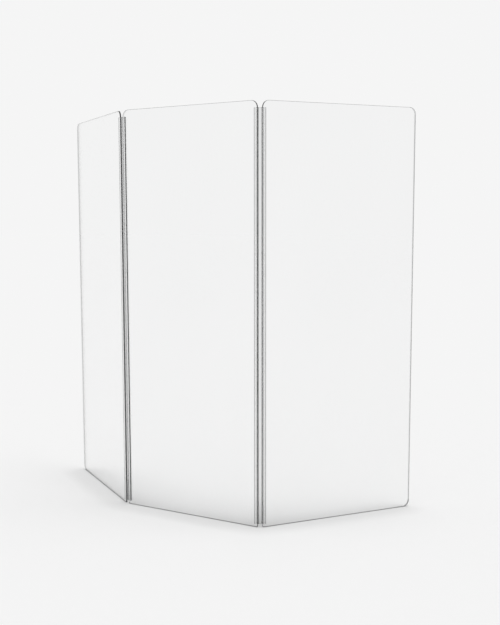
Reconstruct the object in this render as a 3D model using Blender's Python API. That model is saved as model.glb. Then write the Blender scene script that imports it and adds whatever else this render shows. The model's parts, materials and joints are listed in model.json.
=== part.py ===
"""Clear three-panel room shield that stands folded on the floor.

A middle sheet and two slightly wider wings, all of one height, are joined by two tall
flexible hinges. A hinge is a rigid U-shaped channel on each of the two sheet edges,
with a soft clear web between them.
X runs along the middle sheet, to the right as seen from the front. The wings are
folded back, towards +Y, and +Z is up. The origin is the middle of the bottom edge of
the middle sheet. Each wing hangs on two upright axes, one at either root of its web.
"""

import math

import bmesh
import bpy
from mathutils import Vector

MM = 0.001

# Clear sheets
MIDDLE_WIDTH = 609.6 * MM
WING_WIDTH = 652.0 * MM
PANEL_HEIGHT = 1524.0 * MM
PANEL_THICKNESS = 6.0 * MM
CORNER_RADIUS = 25.4 * MM
HINGE_FOOT_RADIUS = 6.0 * MM
POLISHED_CHAMFER = 0.4 * MM

# How far each wing is folded back from straight
LEFT_FOLD = math.radians(33.1)
RIGHT_FOLD = math.radians(62.2)

# Rigid edge channels
CHANNEL_WALL = 1.2 * MM
CHANNEL_BRIDGE = 1.4 * MM
CHANNEL_OVERLAP = 12.0 * MM
CHANNEL_SHOULDER_RADIUS = 0.9 * MM
FLAP_TIP_RADIUS = 0.5 * MM
SLOT_ROOT_RADIUS = 0.2 * MM

# Height of the hinges on the sheets
HINGE_FOOT = 12.0 * MM
HINGE_DROP = 25.4 * MM

# Soft web and the two axes that it bends about
PIVOT_OFFSET = 3.5 * MM
PIVOT_SPACING = 11.2 * MM
WEB_THICKNESS = 1.4 * MM
WEB_ROOT_THICKNESS = 2.4 * MM

# Clearances
SHEET_CLEARANCE = 0.3 * MM
WEB_CLEARANCE = 0.3 * MM

# Smoothness of the curves
CORNER_STEPS = 12
SMALL_CORNER_STEPS = 4
WEB_STEPS = 20
SMOOTH_BELOW = math.radians(35)

# Colours
SHEET_COLOUR = (0.88, 0.93, 0.94, 1.0)
CHANNEL_COLOUR = (0.80, 0.82, 0.83, 1.0)
WEB_COLOUR = (0.86, 0.88, 0.88, 1.0)


def clear_material(name, colour, roughness):
    """See-through plastic."""
    material = bpy.data.materials.new(name)
    material.use_nodes = True
    surface = material.node_tree.nodes["Principled BSDF"]
    surface.inputs["Base Color"].default_value = colour
    surface.inputs["Roughness"].default_value = roughness
    surface.inputs["Metallic"].default_value = 0.0
    surface.inputs["IOR"].default_value = 1.49
    surface.inputs["Transmission Weight"].default_value = 0.9
    return material


def fillet(before, corner, after, radius, steps):
    """Points of the arc that rounds one corner of an outline."""
    to_before = (before - corner).normalized()
    to_after = (after - corner).normalized()
    half = to_before.angle(to_after) / 2
    reach = radius / math.tan(half)
    middle = corner + (to_before + to_after).normalized() * radius / math.sin(half)
    first = corner + to_before * reach - middle
    last = corner + to_after * reach - middle
    sweep = first.angle(last)
    points = []
    for step in range(steps + 1):
        share = step / steps
        spoke = first * math.sin((1 - share) * sweep) + last * math.sin(share * sweep)
        points.append(middle + spoke / math.sin(sweep))
    return points


def rounded_outline(corners, steps):
    """Outline through corners given as x, y and radius, each of them rounded."""
    outline = []
    for index, (x, y, radius) in enumerate(corners):
        before = Vector(corners[index - 1][:2])
        after = Vector(corners[(index + 1) % len(corners)][:2])
        outline += fillet(before, Vector((x, y)), after, radius, steps)
    return outline


def solid(name, rings, material):
    """Closed piece through matching rings of points, capped at both ends."""
    shape = bmesh.new()
    loops = []
    for ring in rings:
        loops.append([shape.verts.new(point) for point in ring])
    for lower, upper in zip(loops, loops[1:]):
        for index in range(len(lower)):
            follower = (index + 1) % len(lower)
            shape.faces.new((lower[index], lower[follower], upper[follower], upper[index]))
    shape.faces.new(loops[0])
    shape.faces.new(loops[-1])
    bmesh.ops.recalc_face_normals(shape, faces=shape.faces)
    mesh = bpy.data.meshes.new(name)
    shape.to_mesh(mesh)
    shape.free()
    mesh.shade_smooth()
    mesh.set_sharp_from_angle(angle=SMOOTH_BELOW)
    mesh.materials.append(material)
    piece = bpy.data.objects.new(name, mesh)
    bpy.context.collection.objects.link(piece)
    return piece


def upright_solid(name, outline, material):
    """Piece with one cross-section over the whole height of the hinges."""
    foot = [(x, y, HINGE_FOOT) for x, y in outline]
    head = [(x, y, PANEL_HEIGHT - HINGE_DROP) for x, y in outline]
    return solid(name, [foot, head], material)


def sheet(name, width, left_foot_radius, right_foot_radius):
    """Clear sheet on its bottom edge, centred on its origin, with polished edges."""

    def ring(inset, y):
        edge = width / 2 - inset
        top = PANEL_HEIGHT - inset
        corners = [
            (-edge, inset, left_foot_radius - inset),
            (edge, inset, right_foot_radius - inset),
            (edge, top, CORNER_RADIUS - inset),
            (-edge, top, CORNER_RADIUS - inset),
        ]
        return [(x, y, z) for x, z in rounded_outline(corners, CORNER_STEPS)]

    face = PANEL_THICKNESS / 2
    rings = [
        ring(POLISHED_CHAMFER, -face),
        ring(0.0, POLISHED_CHAMFER - face),
        ring(0.0, face - POLISHED_CHAMFER),
        ring(POLISHED_CHAMFER, face),
    ]
    return solid(name, rings, clear_material(name, SHEET_COLOUR, 0.04))


def edge_channel(name):
    """Rigid channel over a sheet edge at x = 0, with the sheet on its -X side."""
    slot = PANEL_THICKNESS / 2 + SHEET_CLEARANCE
    outside = slot + CHANNEL_WALL
    bridge_face = SHEET_CLEARANCE + CHANNEL_BRIDGE
    corners = [
        (bridge_face, -outside, CHANNEL_SHOULDER_RADIUS),
        (bridge_face, outside, CHANNEL_SHOULDER_RADIUS),
        (-CHANNEL_OVERLAP, outside, FLAP_TIP_RADIUS),
        (-CHANNEL_OVERLAP, slot, FLAP_TIP_RADIUS),
        (SHEET_CLEARANCE, slot, SLOT_ROOT_RADIUS),
        (SHEET_CLEARANCE, -slot, SLOT_ROOT_RADIUS),
        (-CHANNEL_OVERLAP, -slot, FLAP_TIP_RADIUS),
        (-CHANNEL_OVERLAP, -outside, FLAP_TIP_RADIUS),
    ]
    outline = rounded_outline(corners, SMALL_CORNER_STEPS)
    return upright_solid(name, outline, clear_material(name, CHANNEL_COLOUR, 0.12))


def web(name, sign, fold):
    """Soft web, bent in one arc from bridge to bridge, thicker at its two roots.

    Its origin is the axis next to the middle sheet, and its +X or -X points at the
    axis next to the wing.
    """
    root = PIVOT_OFFSET - SHEET_CLEARANCE - CHANNEL_BRIDGE
    half = fold / 2
    chord = PIVOT_SPACING + 2 * root * math.cos(half)
    bend = chord / 2 / math.sin(half)
    centre_y = root * math.sin(half) + bend * math.cos(half)
    limit = half - WEB_CLEARANCE / bend
    front = []
    back = []
    for step in range(WEB_STEPS + 1):
        share = 2 * step / WEB_STEPS - 1
        swell = (1 - math.cos(math.pi * share)) / 2
        thickness = WEB_THICKNESS + (WEB_ROOT_THICKNESS - WEB_THICKNESS) * swell**3
        for side, radius in ((front, bend + thickness / 2), (back, bend - thickness / 2)):
            x = PIVOT_SPACING / 2 + radius * math.sin(limit * share)
            y = centre_y - radius * math.cos(limit * share)
            side.append((sign * x, y))
    outline = front + back[::-1]
    return upright_solid(name, outline, clear_material(name, WEB_COLOUR, 0.2))


def upright_axis(name, parent, x, turn):
    """Upright axis that the pieces hung on it turn about."""
    axis = bpy.data.objects.new(name, None)
    bpy.context.collection.objects.link(axis)
    axis.parent = parent
    axis.location = (x, 0, 0)
    axis.rotation_euler = (0, 0, turn)
    return axis


def hang(piece, axis, x, turn=0.0):
    """Places a piece in the frame of its axis."""
    piece.parent = axis
    piece.location = (x, 0, 0)
    piece.rotation_euler = (0, 0, turn)


for old in list(bpy.data.objects):
    bpy.data.objects.remove(old)

sheet("middle_panel", MIDDLE_WIDTH, HINGE_FOOT_RADIUS, HINGE_FOOT_RADIUS)

for side, sign, fold in (("left", -1, LEFT_FOLD), ("right", 1, RIGHT_FOLD)):
    half_turn = sign * fold / 2
    middle_edge = sign * MIDDLE_WIDTH / 2
    web_axis = upright_axis(f"{side}_web_axis", None, middle_edge + sign * PIVOT_OFFSET, half_turn)
    wing_axis = upright_axis(f"{side}_wing_axis", web_axis, sign * PIVOT_SPACING, half_turn)
    turned = math.pi if sign < 0 else 0.0

    hang(edge_channel(f"{side}_hinge_middle_channel"), None, middle_edge, turned)
    hang(web(f"{side}_hinge_web", sign, fold), web_axis, 0.0)
    hang(
        edge_channel(f"{side}_hinge_wing_channel"),
        wing_axis,
        sign * PIVOT_OFFSET,
        math.pi - turned,
    )
    feet = (CORNER_RADIUS, HINGE_FOOT_RADIUS)
    wing = sheet(f"{side}_panel", WING_WIDTH, *feet[::-sign])
    hang(wing, wing_axis, sign * (PIVOT_OFFSET + WING_WIDTH / 2))
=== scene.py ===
"""Looks for the clear three-panel room shield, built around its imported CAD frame.

X runs along the middle sheet, to the right as seen from the front, +Y goes to the back
and +Z up, in metres. Every mesh is made in the flat frame of its own sheet or hinge
first, and then placed where the CAD has it.
"""

import json
import math

import bpy
from mathutils import Matrix, Vector


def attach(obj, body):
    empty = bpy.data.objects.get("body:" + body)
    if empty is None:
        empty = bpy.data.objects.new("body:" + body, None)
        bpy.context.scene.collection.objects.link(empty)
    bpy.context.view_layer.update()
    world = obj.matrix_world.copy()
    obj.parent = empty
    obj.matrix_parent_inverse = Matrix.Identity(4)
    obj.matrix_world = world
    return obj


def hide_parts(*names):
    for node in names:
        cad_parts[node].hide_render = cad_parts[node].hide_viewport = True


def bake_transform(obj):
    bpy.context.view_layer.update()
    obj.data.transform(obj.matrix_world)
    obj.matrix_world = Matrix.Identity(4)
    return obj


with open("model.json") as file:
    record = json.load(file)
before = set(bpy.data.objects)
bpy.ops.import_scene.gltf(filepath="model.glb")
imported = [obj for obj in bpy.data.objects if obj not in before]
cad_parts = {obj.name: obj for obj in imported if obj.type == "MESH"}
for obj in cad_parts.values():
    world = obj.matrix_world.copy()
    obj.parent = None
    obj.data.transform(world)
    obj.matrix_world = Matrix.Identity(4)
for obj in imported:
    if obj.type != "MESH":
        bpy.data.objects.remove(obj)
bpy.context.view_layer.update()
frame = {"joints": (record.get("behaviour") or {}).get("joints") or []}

MM = 0.001

# Sheets and their place in the frame
MIDDLE_WIDTH = 609.6 * MM
WING_WIDTH = 652.0 * MM
PANEL_HEIGHT = 1524.0 * MM
PANEL_THICKNESS = 6.0 * MM
CORNER_RADIUS = 25.4 * MM
HINGE_FOOT_RADIUS = 6.0 * MM
EDGE_ROUNDING = 0.7 * MM
LEFT_FOLD = math.radians(33.1)
RIGHT_FOLD = math.radians(62.2)

# Hinges
CHANNEL_WALL = 1.2 * MM
CHANNEL_BRIDGE = 1.4 * MM
CHANNEL_OVERLAP = 12.0 * MM
CHANNEL_SHOULDER_RADIUS = 0.9 * MM
FLAP_TIP_RADIUS = 0.5 * MM
SLOT_ROOT_RADIUS = 0.2 * MM
SHEET_CLEARANCE = 0.3 * MM
HINGE_FOOT = 12.0 * MM
HINGE_HEAD = PANEL_HEIGHT - 25.4 * MM
PIVOT_OFFSET = 3.5 * MM
PIVOT_SPACING = 11.2 * MM
WEB_THICKNESS = 1.4 * MM
WEB_ROOT_THICKNESS = 2.4 * MM

# Tones. A tone is painted shade: how dark a surface is drawn, 0 to 1, and it is stored on the
# mesh. The tones of the edges were set to look like the photograph and stand in for the dark
# lines that bent light draws along clear plastic, because a thin see-through film bends no
# light. They don't follow the light, the view or the fold.

# Painted shade near a sheet's edge: how far from the edge its faces are darker, and how dark
# they are there
RIM_START = 0.6 * MM
RIM_WIDTH = 1.5 * MM
RIM_TONE = 0.45
FACE_INSET = 60 * MM

# Where across a sheet's edge the front's own share of the painted shade ends
FRONT_END = 2 * MM
FRONT_FADE = (2.1 * MM, 1.7 * MM)

# Share of a corner's arc over which its own painted shade sets in, from its upright side and
# from its level side
UPRIGHT_FADE = 0.04
LEVEL_FADE = 0.3

# Height above the foot, and depth below the head, of each ring of a hinge piece, and the
# painted shade that is added there, darker at the cut ends and near the floor
FOOT_RINGS = ((0.0, 0.25), (1.2 * MM, 0.16), (5 * MM, 0.12), (85 * MM, 0.05), (105 * MM, 0.0))
HEAD_RINGS = ((5 * MM, 0.0), (1.2 * MM, 0.08), (0.0, 0.25))
# How much of that painted shade the channels and the webs take
CHANNEL_END_SHARE = 0.4
WEB_END_SHARE = 1.2

# Where a flap's painted shade changes: inward from the edge of the sheet, and back from its
# tip
ROOT_OUTSIDE = 1.2 * MM
ROOT_SLOT = 0.6 * MM
ROOT_END = 3.2 * MM
ROOT_FADE_END = 5.0 * MM
RIM_FADE = 0.3 * MM
SLOT_RIM = (0.8 * MM, 1.3 * MM)
STRIPE_START = (1.9 * MM, 2.2 * MM)
STRIPE_END = (5.4 * MM, 5.7 * MM)
SLOT_ROOT_TONE = 0.1

# Tone of a web at its middle, the painted shade that its roots add where it meets the
# channels, and how close to a root that starts
WEB_TONE = 0.07
WEB_ROOT_TONE = 0.25
WEB_ROOT_POWER = 10
WEB_SWELL_POWER = 3

# How much of its painted shade a surface keeps where it is seen from inside the plastic
INNER_TONE = 0.35

# Plastic
REFRACTIVE_INDEX = 1.49
TINT_LIFT = 0.25
BUMP_STRENGTH = 0.06
BUMP_HEIGHT = 0.2 * MM
DUST = (0.87, 0.875, 0.88, 1.0)
WHITE = (1.0, 1.0, 1.0, 1.0)
GREY = (0.3, 0.3, 0.3, 1.0)
BLACK = (0.0, 0.0, 0.0, 1.0)

# Smoothness
CORNER_STEPS = 24
SMALL_STEPS = 5
WEB_STEPS = 24

# Camera, from a fit that takes both wings as equally wide and the photograph as cropped.
# Other assumptions give another camera and other proportions.
CAMERA_AT = (2.47727, -3.28407, 1.11633)
CAMERA_HEADING = (-0.574023, 0.818839)
CAMERA_PITCH = math.radians(7.5898)
CAMERA_ROLL = math.radians(-0.2294)
FOCAL_PIXELS = 1109.92
CENTRE_PIXEL = (227.94, 366.41)
FRAME_PIXELS = (500, 625)
SENSOR_WIDTH = 36.0
CLIP_END = 300.0

# Light
BACKGROUND = 0.9144
FLOOR_TONE = 0.9147
DOME = 0.87
SUN_SHARE = 0.13
SUN_FROM = Vector((0.55, 0.15, 1.3)).normalized()
SUN_ANGLE = math.radians(40)

# Shade on the floor, in three parts that are multiplied: how far each one reaches, which
# way it leans and how bright it leaves the floor where it is fullest. All of it was set
# to look like the photograph.
WIDE_REACH = 0.5
WIDE_LEAN = Vector((-0.65, -0.75, 3.6)).normalized()
WIDE_POWER = 2.5
WIDE_FULLEST = 0.45
NEAR_REACH = 0.12
NEAR_LEAN = Vector((0.1, 1.0, 2.3)).normalized()
NEAR_START = 0.7
NEAR_FULLEST = 0.925
TIGHT_REACH = 0.01
TIGHT_LEAN = Vector((0, 0, 1))
TIGHT_FULLEST = 0.8
FLOOR_SAMPLES = 16
FLOOR_REACH = 60.0
FLOOR_DROP = 0.1 * MM
TRANSPARENT_BOUNCES = 96


class Shader:
    """A node tree that is built call by call."""

    def __init__(self, tree):
        self.tree = tree
        tree.nodes.clear()

    def add(self, kind, inputs=(), **settings):
        """Adds a node. inputs maps a socket's name or number to a value or a socket."""
        node = self.tree.nodes.new("ShaderNode" + kind)
        for key, value in settings.items():
            setattr(node, key, value)
        for key, value in dict(inputs).items():
            if isinstance(value, bpy.types.NodeSocket):
                self.tree.links.new(value, node.inputs[key])
            else:
                node.inputs[key].default_value = value
        return node

    def math(self, operation, first, second=0.0):
        return self.add("Math", {0: first, 1: second}, operation=operation).outputs[0]

    def ramp(self, value, low, high, start, end):
        """value, taken from the span low..high to the span start..end."""
        sockets = {"Value": value, "From Min": low, "From Max": high}
        sockets |= {"To Min": start, "To Max": end}
        return self.add("MapRange", sockets).outputs["Result"]

    def blend(self, share, first, second):
        """Colour between first and second."""
        node = self.add("Mix", {0: share, 6: first, 7: second}, data_type="RGBA")
        return node.outputs[2]

    def attribute(self, name, output="Fac"):
        return self.add("Attribute", attribute_name=name).outputs[output]

    def noise(self, place, stretch, detail=2.0, roughness=0.5):
        """Noise, 0 to 1, with its own number of cells to the metre on each axis."""
        scaled = self.add("Mapping", {"Vector": place, "Scale": stretch}).outputs[0]
        sockets = {"Vector": scaled, "Scale": 1.0, "Detail": detail, "Roughness": roughness}
        return self.add("TexNoise", sockets).outputs["Fac"]

    def finish(self, surface, kind="OutputMaterial"):
        self.add(kind, {"Surface": surface})


def clear_plastic(name, clear, deep, gloss, haze, streaks, wave):
    """See-through plastic that is darker where its tone, the painted shade stored on the mesh,
    is higher.

    clear and deep are what one surface lets through where tone is 0 and 1. A surface that
    is seen from inside the plastic keeps only a share of its tone.
    gloss is the lowest and highest roughness, haze the lowest and highest share that
    scatters, streaks the cells to the metre of the fine marks, and wave those of the
    slow ones.
    """
    material = bpy.data.materials.new(name)
    material.use_nodes = True
    shader = Shader(material.node_tree)
    place = shader.attribute("place", "Vector")
    # Painted shade stored on the mesh: the lines bent light draws at edges and ends, and the
    # floor's shade near the foot
    tone = shader.attribute("tone")

    fine = shader.noise(place, streaks, detail=4.0, roughness=0.6)
    slow = shader.noise(place, wave, detail=1.0)
    uneven = shader.ramp(slow, 0.3, 0.7, 0.0, 1.0)
    lifted = [level + (1 - level) * TINT_LIFT for level in clear[:3]] + [1.0]
    through = shader.blend(uneven, clear, lifted)
    inside = shader.add("NewGeometry").outputs["Backfacing"]
    marks = shader.ramp(fine, 0.35, 0.75, 0.97, 1.03)
    depth = shader.math("MULTIPLY", tone, marks)
    depth = shader.math("MULTIPLY", depth, shader.ramp(inside, 0.0, 1.0, 1.0, INNER_TONE))
    depth = shader.add("Clamp", {"Value": depth}).outputs[0]
    through = shader.blend(depth, through, deep)

    index = shader.ramp(inside, 0.0, 1.0, REFRACTIVE_INDEX, 1 / REFRACTIVE_INDEX)
    bump = {"Height": shader.math("ADD", fine, slow)}
    bump |= {"Strength": BUMP_STRENGTH, "Distance": BUMP_HEIGHT}
    normal = shader.add("Bump", bump).outputs[0]
    mirror = shader.add("Fresnel", {"IOR": index}).outputs[0]

    film = shader.add("BsdfTransparent", {"Color": through}).outputs[0]
    dull = shader.ramp(fine, 0.45, 0.8, *haze)
    dust = shader.add("BsdfDiffuse", {"Color": DUST, "Normal": normal}).outputs[0]
    body = shader.add("MixShader", {0: dull, 1: film, 2: dust}).outputs[0]
    rough = shader.ramp(fine, 0.3, 0.8, *gloss)
    shine = {"Color": shader.blend(depth, WHITE, GREY), "Roughness": rough, "Normal": normal}
    shine = shader.add("BsdfGlossy", shine).outputs[0]
    shader.finish(shader.add("MixShader", {0: mirror, 1: body, 2: shine}).outputs[0])
    return material


def fillet(before, corner, after, radius, steps):
    """Points of the arc that rounds one corner of an outline."""
    to_before = (before - corner).normalized()
    to_after = (after - corner).normalized()
    half = to_before.angle(to_after) / 2
    reach = radius / math.tan(half)
    middle = corner + (to_before + to_after).normalized() * radius / math.sin(half)
    first = corner + to_before * reach - middle
    last = corner + to_after * reach - middle
    sweep = first.angle(last)
    points = []
    for step in range(steps + 1):
        share = step / steps
        spoke = first * math.sin((1 - share) * sweep) + last * math.sin(share * sweep)
        points.append(middle + spoke / math.sin(sweep))
    return points


def outline(corners, steps):
    """Rounded outline through corners given as x, y and radius."""
    points = []
    for index, (x, y, radius) in enumerate(corners):
        before = Vector(corners[index - 1][:2])
        after = Vector(corners[(index + 1) % len(corners)][:2])
        points += fillet(before, Vector((x, y)), after, radius, steps)
    return points


def piece(name, points, faces, tones, places, to_row, material, smooth=math.radians(40)):
    """Mesh object at the row frame's origin, with its tones and its own coordinates."""
    mesh = bpy.data.meshes.new(name)
    mesh.from_pydata([to_row @ Vector(point) for point in points], [], faces)
    mesh.update()
    tone = mesh.attributes.new("tone", "FLOAT", "POINT")
    tone.data.foreach_set("value", tones)
    place = mesh.attributes.new("place", "FLOAT_VECTOR", "POINT")
    place.data.foreach_set("vector", [number for point in places for number in point])
    mesh.shade_smooth()
    mesh.set_sharp_from_angle(angle=smooth)
    mesh.materials.append(material)
    made = bpy.data.objects.new(name, mesh)
    bpy.context.scene.collection.objects.link(made)
    return made


def skin(rings, gap=None):
    """Points and faces of a skin through matching rings of points, capped at both ends.

    gap is the number of the point after which every ring stays open.
    """
    count = len(rings[0])
    points = [point for ring in rings for point in ring]
    faces = []
    for level in range(len(rings) - 1):
        for index in range(count):
            follower = (index + 1) % count
            low = level * count
            high = low + count
            if index != gap:
                faces.append((low + index, low + follower, high + follower, high + index))
    faces.append(tuple(reversed(range(count))))
    faces.append(tuple(range(len(points) - count, len(points))))
    return points, faces


def sheet(name, width, radii, side_tones, corner_tones, front_tones, to_row, material):
    """Clear sheet on its bottom edge, centred on its own origin.

    radii, side_tones and corner_tones go round from the bottom left corner and the bottom
    side; the tones are painted shade that stands in for the dark lines which bent light draws
    along a clear edge, and along the bottom also for the shadow where the sheet meets the
    floor. front_tones say how much of that the millimetre next to the front keeps on each
    side.
    """
    face = PANEL_THICKNESS / 2
    profile = [(FACE_INSET, -face, 0.0), (RIM_WIDTH, -face, 0.0)]
    profile.append((RIM_START, -face, RIM_TONE))
    for step in range(SMALL_STEPS + 1):
        turn = math.pi / 2 * step / SMALL_STEPS
        inset = EDGE_ROUNDING * (1 - math.sin(turn))
        profile.append((inset, EDGE_ROUNDING * (1 - math.cos(turn)) - face, 1.0))
    back = [(inset, -y, rim) for inset, y, rim in reversed(profile)]
    profile += [(0.0, -depth, 1.0) for depth in FRONT_FADE] + back

    tones = []
    fronts = []
    for corner in range(4):
        before = side_tones[corner - 1]
        after = side_tones[corner]
        for step in range(CORNER_STEPS + 1):
            share = step / CORNER_STEPS
            upright_share = share if corner in (0, 2) else 1 - share
            set_in = upright_share / UPRIGHT_FADE
            own = min(1.0, set_in, (1 - upright_share) / LEVEL_FADE)
            side = before + (after - before) * share
            tones.append(side + (corner_tones[corner] - side) * own)
            front = front_tones[corner - 1]
            fronts.append(front + (front_tones[corner] - front) * share)

    rings = []
    ring_tones = []
    for inset, y, rim in reversed(profile):
        edge = width / 2 - inset
        top = PANEL_HEIGHT - inset
        places = ((-edge, inset), (edge, inset), (edge, top), (-edge, top))
        corners = [(x, z, max(r - inset, MM)) for (x, z), r in zip(places, radii)]
        rings.append([(p.x, y, p.y) for p in outline(corners, CORNER_STEPS)])
        if y < -FRONT_END:
            ring_tones += [tone * rim * front for tone, front in zip(tones, fronts)]
        else:
            ring_tones += [tone * rim for tone in tones]
    points, faces = skin(rings)
    return piece(name, points, faces, ring_tones, points, to_row, material)


def upright(name, section, tones, places, shade, to_row, material, gap=None):
    """Extruded piece between the foot and the head of the hinges.

    Painted shade makes it a little darker at its two cut ends, standing in for light that
    leaves the plastic there, and down its last 100 mm, standing in for the shade of the floor.
    shade says how much darker.
    """
    levels = [HINGE_FOOT + height for height, end in FOOT_RINGS]
    levels += [HINGE_HEAD - depth for depth, end in HEAD_RINGS]
    ends = [end for place, end in FOOT_RINGS + HEAD_RINGS]
    rings = [[(x, y, z) for x, y in section] for z in levels]
    points, faces = skin(rings, gap)
    ring_tones = [tone + end * shade for end in ends for tone in tones]
    spots = [(x, y, z) for z in levels for x, y in places]
    return piece(name, points, faces, ring_tones, spots, to_row, material)


def flap(tip, rim, rim_width, shoulder, root, stripe):
    """Points and tones of one flap of a channel, from its shoulder out and back in.

    The flap lies on the +Y side of a sheet edge at x = 0. tip, rim, shoulder, root and stripe
    say how dark the painted shade is at its end, the strip next to that, the corner of the
    bridge, the part next to the bridge and the strip that faces the sheet; it stands in for
    the lines that bent light draws in clear plastic. rim_width is how far the strip next to
    the end reaches.
    """
    slot = PANEL_THICKNESS / 2 + SHEET_CLEARANCE
    outside = slot + CHANNEL_WALL
    bridge = SHEET_CLEARANCE + CHANNEL_BRIDGE
    end = FLAP_TIP_RADIUS - CHANNEL_OVERLAP
    corner = arc(bridge - CHANNEL_SHOULDER_RADIUS, outside - CHANNEL_SHOULDER_RADIUS,
                 CHANNEL_SHOULDER_RADIUS, 0)
    spots = []
    for step, (x, y) in enumerate(corner):
        spots.append((x, y, shoulder + (root - shoulder) * step / SMALL_STEPS))
    spots += [(-ROOT_OUTSIDE, outside, root), (-ROOT_END, outside, root)]
    spots.append((-ROOT_FADE_END, outside, 0.0))
    spots += [(end + rim_width + RIM_FADE, outside, 0.0), (end + rim_width, outside, rim)]
    spots += [(x, y, tip) for x, y in arc(end, outside - FLAP_TIP_RADIUS, FLAP_TIP_RADIUS, 1)]
    spots += [(x, y, tip) for x, y in arc(end, slot + FLAP_TIP_RADIUS, FLAP_TIP_RADIUS, 2)]
    spots += [(end + SLOT_RIM[0], slot, rim), (end + SLOT_RIM[1], slot, 0.0)]
    spots += [(end + STRIPE_START[0], slot, 0.0), (end + STRIPE_START[1], slot, stripe)]
    spots += [(end + STRIPE_END[0], slot, stripe), (end + STRIPE_END[1], slot, 0.0)]
    spots += [(-ROOT_FADE_END, slot, 0.0), (-ROOT_END, slot, root), (-ROOT_SLOT, slot, root)]
    spots.append((SHEET_CLEARANCE, slot - SLOT_ROOT_RADIUS, SLOT_ROOT_TONE))
    return spots


def channel(name, sign, front, back, to_row, material):
    """Rigid channel over a sheet edge at x = 0, with the sheet on its -X side.

    sign is 1 where +Y is the back of the shield. front and back are the painted shade tones of
    the flaps before and behind the sheet.
    """
    half, other = (back, front) if sign > 0 else (front, back)
    loop = flap(*half) + [(x, -y, tone) for x, y, tone in reversed(flap(*other))]
    section = [(x, y) for x, y, tone in loop]
    tones = [tone for x, y, tone in loop]
    return upright(name, section, tones, section, CHANNEL_END_SHARE, to_row, material)


def arc(x, y, radius, quarter):
    """Points of a quarter circle about x, y, from +X round through +Y."""
    points = []
    for step in range(SMALL_STEPS + 1):
        turn = math.pi / 2 * (quarter + step / SMALL_STEPS)
        points.append((x + radius * math.cos(turn), y + radius * math.sin(turn)))
    return points


def web_half(name, sign, fold, near, to_row, material):
    """Half of the soft web, from one root to the middle of its arc.

    In the frame whose origin is the axis next to the middle sheet, with the axis next
    to the wing on +X or -X. near is True for the half next to the middle sheet.
    """
    root = PIVOT_OFFSET - SHEET_CLEARANCE - CHANNEL_BRIDGE
    half = fold / 2
    chord = PIVOT_SPACING + 2 * root * math.cos(half)
    bend = chord / 2 / math.sin(half)
    centre_y = root * math.sin(half) + bend * math.cos(half)
    front = []
    back = []
    for step in range(WEB_STEPS + 1):
        share = step / WEB_STEPS - 1 if near else step / WEB_STEPS
        swell = (1 - math.cos(math.pi * share)) / 2
        swell **= WEB_SWELL_POWER
        thickness = WEB_THICKNESS + (WEB_ROOT_THICKNESS - WEB_THICKNESS) * swell
        tone = WEB_TONE + WEB_ROOT_TONE * abs(share) ** WEB_ROOT_POWER
        for side, reach in ((front, thickness / 2), (back, -thickness / 2)):
            x = PIVOT_SPACING / 2 + (bend + reach) * math.sin(half * share)
            y = centre_y - (bend + reach) * math.cos(half * share)
            side.append((sign * x, y, tone, (share * chord / 2, reach)))
    loop = front + back[::-1] if sign > 0 else back + front[::-1]
    section = [(x, y) for x, y, tone, spot in loop]
    tones = [tone for x, y, tone, spot in loop]
    places = [spot for x, y, tone, spot in loop]
    seam = WEB_STEPS if near else len(loop) - 1
    return upright(name, section, tones, places, WEB_END_SHARE, to_row, material, seam)


def joint_place(name):
    """Place of a joint's upright axis in the row frame."""
    for joint in frame["joints"]:
        if joint["name"] == name:
            return Vector(joint["pos_m"])
    raise KeyError(name)


def turned(place, angle):
    """Frame at a place, turned about the upright."""
    return Matrix.Translation(place) @ Matrix.Rotation(angle, 4, "Z")


sheet_plastic = clear_plastic(
    "clear_sheet_plastic",
    clear=(0.982, 0.983, 0.983, 1.0),
    deep=(0.02, 0.021, 0.022, 1.0),
    gloss=(0.02, 0.07),
    haze=(0.0, 0.012),
    streaks=(140.0, 140.0, 45.0),
    wave=(3.1, 3.1, 1.7),
)
channel_plastic = clear_plastic(
    "rigid_channel_plastic",
    clear=(0.974, 0.975, 0.975, 1.0),
    deep=(0.03, 0.031, 0.032, 1.0),
    gloss=(0.06, 0.16),
    haze=(0.004, 0.03),
    streaks=(1300.0, 1300.0, 9.0),
    wave=(40.0, 40.0, 2.3),
)
web_plastic = clear_plastic(
    "soft_web_plastic",
    clear=(0.948, 0.95, 0.95, 1.0),
    deep=(0.1, 0.102, 0.104, 1.0),
    gloss=(0.1, 0.24),
    haze=(0.006, 0.04),
    streaks=(700.0, 700.0, 14.0),
    wave=(30.0, 30.0, 11.0),
)

FOOT = HINGE_FOOT_RADIUS
HEAD = CORNER_RADIUS

middle = sheet(
    "middle_clear_sheet",
    width=MIDDLE_WIDTH,
    radii=(FOOT, FOOT, HEAD, HEAD),
    side_tones=(0.9, 0.66, 0.62, 0.12),
    corner_tones=(1.2, 1.6, 1.2, 0.9),
    front_tones=(1.0, 1.0, 1.0, 1.0),
    to_row=Matrix.Identity(4),
    material=sheet_plastic,
)
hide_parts("middle_panel")
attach(middle, "middle")

# Painted shade on the four channels' front and back flaps: tip, rim, rim_width, shoulder, root
# and stripe. They differ because the photograph shows them so; the real channels are alike.
FLAP_TONES = {
    "left_middle": (
        (0.9, 0.8, 1.0 * MM, 0.5, 0.26, 0.0),
        (0.2, 0.0, 1.2 * MM, 0.4, 0.05, 1.0),
    ),
    "left_wing": (
        (1.0, 0.9, 2.6 * MM, 0.0, 0.03, 0.0),
        (0.7, 0.2, 1.2 * MM, 0.95, 0.2, 0.0),
    ),
    "right_middle": (
        (1.0, 0.9, 1.1 * MM, 0.58, 0.16, 0.0),
        (0.35, 0.1, 1.2 * MM, 0.9, 0.17, 0.0),
    ),
    "right_wing": (
        (1.0, 0.9, 1.3 * MM, 0.42, 0.27, 0.0),
        (0.35, 0.1, 1.2 * MM, 0.65, 0.15, 0.0),
    ),
}

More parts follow.
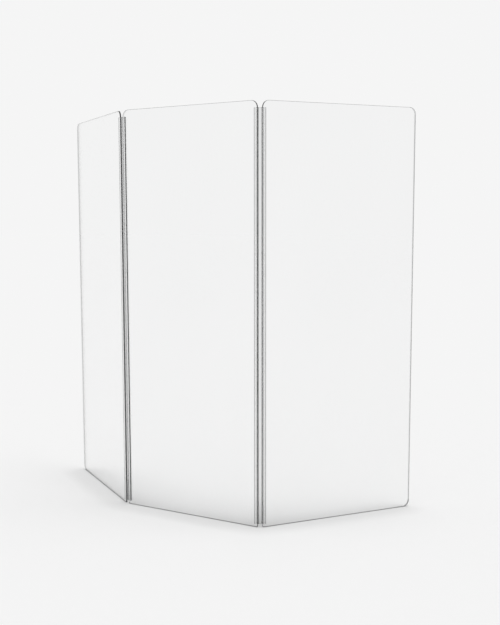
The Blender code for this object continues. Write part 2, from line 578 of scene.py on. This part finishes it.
for side, sign, fold in (("left", -1, LEFT_FOLD), ("right", 1, RIGHT_FOLD)):
    half_turn = sign * fold / 2
    web_axis = joint_place(f"{side}_web_pivot")
    wing_axis = joint_place(f"{side}_wing_pivot")
    web_frame = turned(web_axis, half_turn)
    wing_frame = turned(wing_axis, sign * fold)
    away = 0.0 if sign > 0 else math.pi

    wing = sheet(
        f"{side}_clear_sheet",
        width=WING_WIDTH,
        radii=(FOOT, HEAD, HEAD, HEAD) if sign > 0 else (HEAD, FOOT, HEAD, HEAD),
        side_tones=(0.9, 1.3, 0.62, 0.34) if sign > 0 else (0.9, 1.0, 0.62, 1.3),
        corner_tones=(1.6, 2.0, 1.1, 1.0) if sign > 0 else (1.2, 1.6, 1.2, 1.1),
        front_tones=(1.0, 1.0, 1.0, 1.0) if sign > 0 else (1.0, 0.08, 1.0, 1.0),
        to_row=wing_frame @ Matrix.Translation((sign * (PIVOT_OFFSET + WING_WIDTH / 2), 0, 0)),
        material=sheet_plastic,
    )
    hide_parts(f"{side}_panel")
    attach(wing, f"{side}_wing")

    on_middle = channel(
        f"{side}_hinge_channel_on_middle_sheet",
        sign,
        *FLAP_TONES[f"{side}_middle"],
        turned(Vector((sign * MIDDLE_WIDTH / 2, 0, 0)), away),
        channel_plastic,
    )
    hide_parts(f"{side}_hinge_middle_channel")
    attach(on_middle, "middle")

    on_wing = channel(
        f"{side}_hinge_channel_on_{side}_sheet",
        -sign,
        *FLAP_TONES[f"{side}_wing"],
        wing_frame @ turned(Vector((sign * PIVOT_OFFSET, 0, 0)), math.pi - away),
        channel_plastic,
    )
    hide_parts(f"{side}_hinge_wing_channel")
    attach(on_wing, f"{side}_wing")

    near = web_half(f"{side}_hinge_web_inner_half", sign, fold, True, web_frame, web_plastic)
    far = web_half(f"{side}_hinge_web_outer_half", sign, fold, False, web_frame, web_plastic)
    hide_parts(f"{side}_hinge_web")
    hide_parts(f"{side}_hinge_web")
    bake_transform(near)
    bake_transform(far)


def studio():
    """Pale floor that ends in a background of its own colour, under a soft dome."""
    mesh = bpy.data.meshes.new("floor")
    low, high = -FLOOR_REACH, FLOOR_REACH
    corners = [(low, low, 0), (high, low, 0), (high, high, 0), (low, high, 0)]
    mesh.from_pydata(corners, [], [(0, 1, 2, 3)])
    floor = bpy.data.objects.new("floor", mesh)
    floor.location.z = -FLOOR_DROP
    bpy.context.scene.collection.objects.link(floor)
    material = bpy.data.materials.new("floor")
    material.use_nodes = True
    shader = Shader(material.node_tree)
    looks = ((WIDE_REACH, WIDE_LEAN), (NEAR_REACH, NEAR_LEAN), (TIGHT_REACH, TIGHT_LEAN))
    openness = []
    for reach, lean in looks:
        # The node leaves a constant normal out, so the lean comes in as a link
        aim = shader.add("CombineXYZ", dict(enumerate(lean))).outputs[0]
        sockets = {"Distance": reach, "Normal": aim}
        look = shader.add("AmbientOcclusion", sockets, samples=FLOOR_SAMPLES)
        openness.append(look.outputs["AO"])
    wide, near, tight = openness
    closed = shader.math("POWER", shader.math("SUBTRACT", 1.0, wide), WIDE_POWER)
    level = shader.ramp(closed, 0.0, 1.0, 1.0, WIDE_FULLEST)
    near_level = shader.ramp(near, NEAR_START, 1.0, NEAR_FULLEST, 1.0)
    level = shader.math("MULTIPLY", level, near_level)
    tight_level = shader.ramp(tight, 0.0, 1.0, TIGHT_FULLEST, 1.0)
    level = shader.math("MULTIPLY", level, tight_level)
    colour = shader.blend(level, BLACK, (FLOOR_TONE, FLOOR_TONE, FLOOR_TONE, 1.0))
    shader.finish(shader.add("BsdfDiffuse", {"Color": colour}).outputs[0])
    mesh.materials.append(material)

    world = bpy.data.worlds.new("studio")
    world.use_nodes = True
    bpy.context.scene.world = world
    shader = Shader(world.node_tree)
    path = shader.add("LightPath").outputs
    seen = shader.math("MAXIMUM", path["Is Camera Ray"], path["Is Glossy Ray"])
    seen = shader.math("MAXIMUM", seen, path["Is Transmission Ray"])
    level = shader.ramp(seen, 0.0, 1.0, DOME, BACKGROUND)
    sky = shader.add("Background", {"Color": WHITE, "Strength": level})
    shader.finish(sky.outputs[0], "OutputWorld")

    sun = bpy.data.lights.new("soft_key", "SUN")
    sun.energy = SUN_SHARE * math.pi / SUN_FROM.z
    sun.angle = SUN_ANGLE
    key = bpy.data.objects.new("soft_key", sun)
    key.rotation_euler = SUN_FROM.to_track_quat("Z", "Y").to_euler()
    bpy.context.scene.collection.objects.link(key)


def photographer():
    """Camera as it was fitted to the photograph."""
    heading = Vector((*CAMERA_HEADING, 0)).normalized()
    forward = heading * math.cos(CAMERA_PITCH) - Vector((0, 0, math.sin(CAMERA_PITCH)))
    right = heading.cross(Vector((0, 0, 1))).normalized()
    up = right.cross(forward)
    aim = Matrix((right, up, -forward)).transposed() @ Matrix.Rotation(CAMERA_ROLL, 3, "Z")
    data = bpy.data.cameras.new("camera")
    data.sensor_width = SENSOR_WIDTH
    across, high = FRAME_PIXELS
    data.lens = FOCAL_PIXELS * data.sensor_width / high
    data.shift_x = (across / 2 - CENTRE_PIXEL[0]) / high
    data.shift_y = (CENTRE_PIXEL[1] - high / 2) / high
    data.clip_end = CLIP_END
    camera = bpy.data.objects.new("camera", data)
    camera.matrix_world = Matrix.Translation(CAMERA_AT) @ aim.to_4x4()
    bpy.context.scene.collection.objects.link(camera)
    bpy.context.scene.camera = camera


studio()
photographer()

scene = bpy.context.scene
scene.view_settings.view_transform = "Standard"
scene.cycles.transparent_max_bounces = TRANSPARENT_BOUNCES
